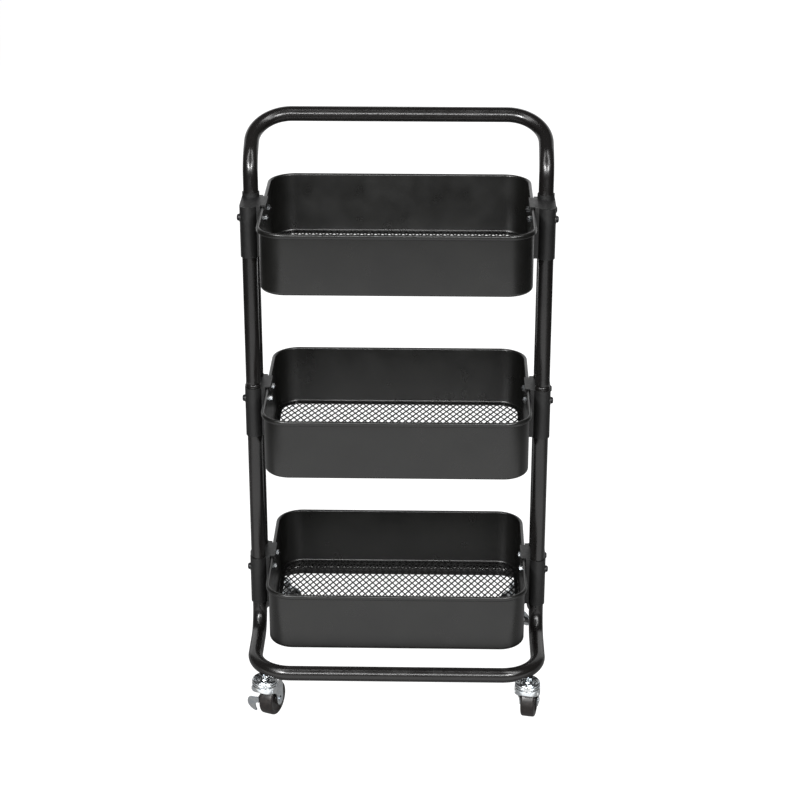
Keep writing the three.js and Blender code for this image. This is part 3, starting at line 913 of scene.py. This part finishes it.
def stem_body(node):
    """The riveted foot, the ringed neck, the hexagon under the base tube and the stem inside it."""
    seat = box_mm("front_base_tube")[0].z
    low, top = (corner.z for corner in box_mm(node))
    hex_z = seat - GAP - HEX_HEIGHT
    corners_off = [(0, hex_z), (6.3, hex_z), (7.5, hex_z + 0.8), (7.5, seat), (0, seat)]
    collar = combined(prism(hexagon(HEX_R), hex_z, seat - GAP), turned(corners_off, 48), "INTERSECT")
    foot = [(0, low + 0.2), (7.6, low), (8, low + 0.3), (8, low + 1.5), (NECK_R, low + 1.5)]
    neck = [(NECK_R, 66.5), (5.9, 67.6), (NECK_R, 68.4), (4.9, 69.0), (5.6, 70.2), (6.2, hex_z + 0.5)]
    stem = [(STEM_R, hex_z + 0.6), (STEM_R, top - 0.8), (STEM_R - 0.6, top), (0, top)]
    return union(collar, turned(foot + neck + stem, 40))


def wheel_body():
    """A solid wheel with a crowned tread, rounded shoulders, a sunk web and a hub."""
    radius, half = AXLE_Z, WHEEL_HALF
    hub = LEG_IN - 0.5
    shoulder = 3.0
    right = [(RUNNING_BORE, hub), (7.6, hub), (8.4, hub - 0.5), (8.9, half - 1.7), (9.6, half - 2.2)]
    right += [(17.6, half - 2.2), (18.6, half - 1.7), (19.2, half - 0.4), (19.9, half)]
    right += [(x, y) for y, x in arc(half - shoulder, radius - 0.15 - shoulder, shoulder, 0, 90, 8)][:-1]
    right += [(radius - 0.12, half - shoulder), (radius - 0.03, half / 3), (radius, 0)]
    left = [(x, -y) for x, y in right[:-1]][::-1]
    body = lying(turned(right + left, 96, closed=True), "y")
    return moved(body, Matrix.Translation((TRAIL, 0, AXLE_Z)))


def axle_body(braked):
    """A riveted axle: a domed head at one end and a rolled one at the other."""
    near = -LEG_OUT - GAP
    far = LEG_OUT + GAP + (LEVER_PLATE + GAP if braked else 0.0)
    profile = [(0, near - 1.4), (2.2, near - 1.3), (3.8, near - 0.9), (RIVET_R, near - 0.3), (RIVET_R, near)]
    profile += [(AXLE_R, near), (AXLE_R, far), (RIVET_R, far), (RIVET_R, far + 0.3), (3.8, far + 0.9)]
    profile += [(2.6, far + 1.3), (1.8, far + 1.1), (1.2, far + 0.4), (0, far + 0.4)]
    body = lying(turned(profile, 36), "y")
    return moved(body, Matrix.Translation((TRAIL, 0, AXLE_Z)))


def pedal_outline(y0):
    """The claw seen from in front, as (outward, height) points, with its back at y0."""
    tip, middle = y0 + PEDAL_OUT, (PEDAL_TOP + PEDAL_LOW) / 2
    claw = [(y0, ARM_LOW), (y0, PEDAL_TOP)]
    claw += curve((y0, PEDAL_TOP), (tip, PEDAL_TOP + 1), (tip, middle), 12)
    claw += curve((tip, middle), (tip, PEDAL_LOW + 3), (y0 + 3 * LEVER_PLATE, PEDAL_LOW), 12)
    point, root = (y0 + 2 * LEVER_PLATE, PEDAL_LOW + 1.5), (y0 + 2 * LEVER_PLATE, ARM_LOW)
    return claw + [point] + curve(point, (y0 + 5 * LEVER_PLATE, middle - 1), root, 12)


def brake_body():
    """The foot lever: an eye round the axle, an arm forward, and a claw-shaped pedal turned outward."""
    y0 = LEG_OUT + GAP
    outline = [(PEDAL_X, PEDAL_TOP), (PEDAL_X, ARM_LOW), (TRAIL - 4, AXLE_Z - LEVER_EYE + 0.9)]
    outline += arc(TRAIL, AXLE_Z, LEVER_EYE, -100, 90, 24)
    arm = prism(outline, 0, LEVER_PLATE)
    moved(arm, Matrix(((1, 0, 0, 0), (0, 0, 1, y0), (0, 1, 0, 0), (0, 0, 0, 1))))
    claw = prism(pedal_outline(y0), 0, LEVER_PLATE)
    sliced(claw, Vector((1, 0, 0)), [y0 + PEDAL_OUT * k / 12 for k in range(1, 12)])
    for vert in claw.verts:
        y, z, x = vert.co
        curl = 3.5 * ((y - y0) / PEDAL_OUT) ** 2
        vert.co = Vector((PEDAL_X + x + curl, y, z))
    hole = lying(turned([(0, 10), (RUNNING_BORE, 10), (RUNNING_BORE, 20), (0, 20)], 24), "y")
    body = cut(union(arm, claw), moved(hole, Matrix.Translation((TRAIL, 0, AXLE_Z))))
    return rounded(body, 0.35, 2, 50)


def casters():
    """The four casters, each turned as its wheel's axle lies in the frame."""
    stem, fork, wheel = stem_body("front_left_caster_stem"), fork_body(), wheel_body()
    plain_axle, braked_axle, lever = axle_body(False), axle_body(True), brake_body()
    axes = {joint["name"]: joint["axis"] for joint in frame["joints"]}
    for caster in CASTERS:
        low, high = box_mm(f"{caster}_caster_stem")
        axle_x, axle_y, _ = axes[f"{caster}_wheel_roll"]
        turn = Matrix.Rotation(math.atan2(axle_y, axle_x) + math.pi / 2, 4, "Z")
        place = Matrix.Translation(((low.x + high.x) / 2, (low.y + high.y) / 2, 0)) @ turn
        lever_node = f"{caster}_brake_lever"
        braked = lever_node in frame["nodes"]
        kinds = {"stem": stem, "fork": fork, "wheel": wheel, "axle": braked_axle if braked else plain_axle}
        for kind, body in kinds.items():
            node = f"{caster}_caster_{kind}"
            material = WHEEL_PLASTIC if kind == "wheel" else ZINC_PLATE
            piece(f"{node}_part", moved(body.copy(), place), node, material, 38)
        if braked:
            pressing = moved(lever.copy(), place)
            piece(f"{lever_node}_pressing", pressing, lever_node, ZINC_PLATE)


casters()


# ---- Studio -------------------------------------------------------------------------------------


def camera_sees(nodes, links, seen, otherwise, output):
    """The shader seen stands for otherwise where the camera looks straight at it."""
    path, mix = nodes.new("ShaderNodeLightPath"), nodes.new("ShaderNodeMixShader")
    links.new(path.outputs["Is Camera Ray"], mix.inputs["Fac"])
    links.new(otherwise, mix.inputs[1])
    links.new(seen, mix.inputs[2])
    links.new(mix.outputs["Shader"], output.inputs["Surface"])


def stage_sheet(name, section, half_width, colour, bounce, glow):
    """A sheet of the set, drawn as (y, z) points and seen by the camera as plain white.

    bounce is the light that it gives off to the cart; glow whitens it for the camera alone.
    """
    bm = bmesh.new()
    edges = [(bm.verts.new((-half_width, y, z)), bm.verts.new((half_width, y, z))) for y, z in section]
    for (a, b), (c, d) in zip(edges, edges[1:]):
        bm.faces.new((a, b, d, c))
    mesh = bpy.data.meshes.new(name)
    bm.to_mesh(mesh)
    bm.free()
    mesh.shade_smooth()
    sheet = bpy.data.objects.new(name, mesh)
    bpy.context.scene.collection.objects.link(sheet)
    paper = Finish(name, Roughness=0.9, Specular_IOR_Level=0.1, Emission_Strength=bounce)
    paper.shader.inputs["Emission Color"].default_value = (1, 1, 1, 1)
    paper.colours(paper.noise(2.0, 2), [(0.0, colour), (1.0, tuple(0.98 * c for c in colour))])
    white, add = paper.nodes.new("ShaderNodeEmission"), paper.nodes.new("ShaderNodeAddShader")
    white.inputs["Color"].default_value = (1, 1, 1, 1)
    white.inputs["Strength"].default_value = glow
    paper.links.new(paper.shader.outputs["BSDF"], add.inputs[0])
    paper.links.new(white.outputs["Emission"], add.inputs[1])
    output = paper.nodes["Material Output"]
    camera_sees(paper.nodes, paper.links, add.outputs["Shader"], paper.shader.outputs["BSDF"], output)
    mesh.materials.append(paper.material)


def studio_set():
    """A roll of white paper that runs under the cart and up behind it, in a dark room."""
    sweep = [(-4.5, 0), (2.2, 0)] + arc(2.2, 1.0, 1.0, -90, 0, 16)[1:] + [(3.2, 3.0)]
    stage_sheet("studio_paper", sweep, 1.15, (0.08, 0.08, 0.08), 0.2, 0.9)
    stage_sheet("studio_ground", [(-30, -0.001), (30, -0.001)], 30.0, (0.03, 0.03, 0.03), 0.0, 1.0)


def softbox(name, place, target, size, power):
    """A rectangular light that faces target, and that the camera itself doesn't see."""
    light = bpy.data.lights.new(name, "AREA")
    light.shape = "RECTANGLE"
    light.size, light.size_y = size
    light.energy = power
    ob = bpy.data.objects.new(name, light)
    ob.location = place
    ob.rotation_euler = (Vector(target) - Vector(place)).to_track_quat("-Z", "Y").to_euler()
    ob.visible_camera = False
    bpy.context.scene.collection.objects.link(ob)


def studio_world():
    """A dim room, white where the camera looks."""
    world = bpy.data.worlds.new("studio")
    world.use_nodes = True
    nodes, links = world.node_tree.nodes, world.node_tree.links
    room, seen = nodes["Background"], nodes.new("ShaderNodeBackground")
    room.inputs["Color"].default_value = (1, 1, 1, 1)
    room.inputs["Strength"].default_value = 0.06
    seen.inputs["Color"].default_value = (1, 1, 1, 1)
    seen.inputs["Strength"].default_value = 1.0
    output = nodes["World Output"]
    camera_sees(nodes, links, seen.outputs["Background"], room.outputs["Background"], output)
    bpy.context.scene.world = world


def studio_camera():
    """A long lens in front of the cart and above it, looking down at it."""
    camera = bpy.data.cameras.new("photo_view")
    camera.lens = 92.6
    camera.sensor_width = 36.0
    camera.shift_y = -0.04
    camera.clip_end = 100.0
    ob = bpy.data.objects.new("photo_view", camera)
    ob.location = (0.058, -2.7, 1.623)
    ob.rotation_euler = (math.radians(90 - 22.69), 0, math.radians(1.17))
    bpy.context.scene.collection.objects.link(ob)
    bpy.context.scene.camera = ob


def studio_lights():
    """Two strips overhead, three lights in front, a low card before the cart and a wall behind it."""
    middle = (0, 0, 0.45)
    softbox("overhead_left", (-1.0, -0.9, 2.2), middle, (0.4, 2.0), 20)
    softbox("overhead_right", (1.0, -0.9, 2.2), middle, (0.4, 2.0), 24)
    softbox("front_left", (-1.6, -2.9, 2.3), middle, (0.6, 0.6), 130)
    softbox("front_right", (1.5, -3.0, 2.3), middle, (0.5, 0.5), 80)
    softbox("front_wide", (0.0, -3.6, 2.15), middle, (3.0, 0.3), 90)
    softbox("floor_front", (0.0, -1.16, 0.01), (0.0, -1.16, 1.0), (1.8, 1.88), 10)
    softbox("backdrop", (0.0, 1.5, 0.8), (0.0, 0.0, 0.8), (3.8, 2.0), 20)


studio_set()
studio_world()
studio_camera()
studio_lights()
bpy.context.scene.view_settings.view_transform = "Standard"
bpy.context.scene.view_settings.look = "None"
